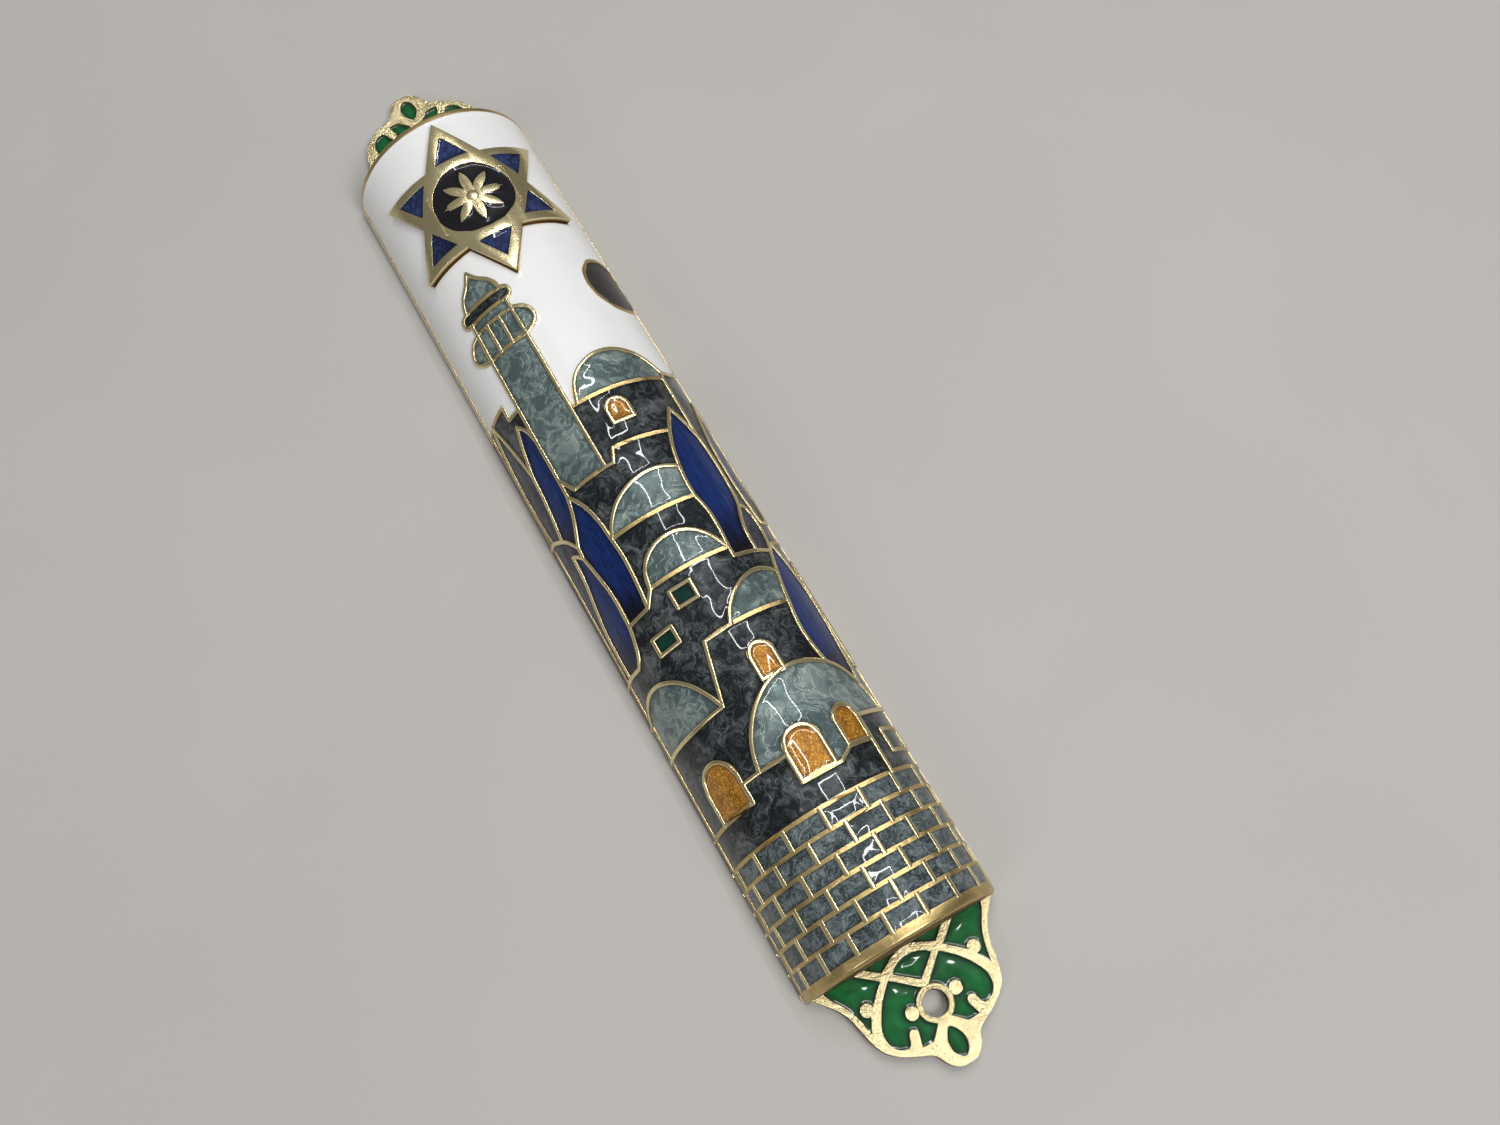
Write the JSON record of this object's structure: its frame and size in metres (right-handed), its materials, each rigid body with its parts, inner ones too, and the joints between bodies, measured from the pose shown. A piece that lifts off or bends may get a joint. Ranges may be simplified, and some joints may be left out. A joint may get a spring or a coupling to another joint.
{
  "type": "mezuzah case",
  "caption": "Half-round enamelled metal case for a small scroll, on a slide-in back plate with a pierced ornamental ear at each end.",
  "frame": {"origin": "middle of the flat back face, which lies on the door post", "axes": "+Z out of the front, +Y towards the top of the case, +X to the right when it is seen from the front"},
  "size_m": [0.023, 0.137, 0.0123],
  "materials": {
    "plate_metal": "satin antique gold plating",
    "shell_metal": "satin antique gold plating, brighter on the wires",
    "star_metal": "polished gold plating",
    "green_enamel": "fired glass enamel, glossy",
    "white_enamel": "fired glass enamel, glossy",
    "pale_enamel": "pearly swirled enamel, glossy",
    "slate_enamel": "pearly swirled enamel, glossy",
    "grey_blue_enamel": "pearly swirled enamel, glossy",
    "deep_blue_enamel": "streaked enamel, glossy",
    "amber_enamel": "glittering enamel, glossy",
    "emerald_enamel": "fired glass enamel, glossy",
    "brick_enamel": "sparkling enamel, glossy",
    "charcoal_enamel": "fired glass enamel, glossy",
    "star_blue_enamel": "fired glass enamel, glossy",
    "black_enamel": "fired glass enamel, glossy",
    "parchment": "dry matt parchment"
  },
  "bodies": {
    "plate": {"back_plate": "plate_metal", "lower_ear_enamel": "green_enamel", "upper_ear_enamel": "green_enamel"},
    "case": {"shell": "shell_metal", "sky_enamel": "white_enamel", "tower_enamel": "pale_enamel", "tower_band_enamel": "slate_enamel", "dome_enamel": "pale_enamel", "wall_enamel": "slate_enamel", "shrub_enamel": "grey_blue_enamel", "cypress_enamel": "deep_blue_enamel", "door_enamel": "amber_enamel", "window_enamel": "emerald_enamel", "brick_enamel": "brick_enamel", "moon_enamel": "charcoal_enamel", "star": "star_metal", "star_point_enamel": "star_blue_enamel", "medallion_enamel": "black_enamel", "rosette": "star_metal"},
    "scroll": {"scroll": "parchment"}
  },
  "joints": [
    {"name": "case_slide", "type": "slide", "parent": "plate", "child": "case", "axis": [0, 1, 0], "range_m": [-0.124, 0.124]},
    {"name": "scroll_shift", "type": "slide", "parent": "case", "child": "scroll", "axis": [0, 1, 0], "range_m": [-0.004, 0.004]}
  ]
}
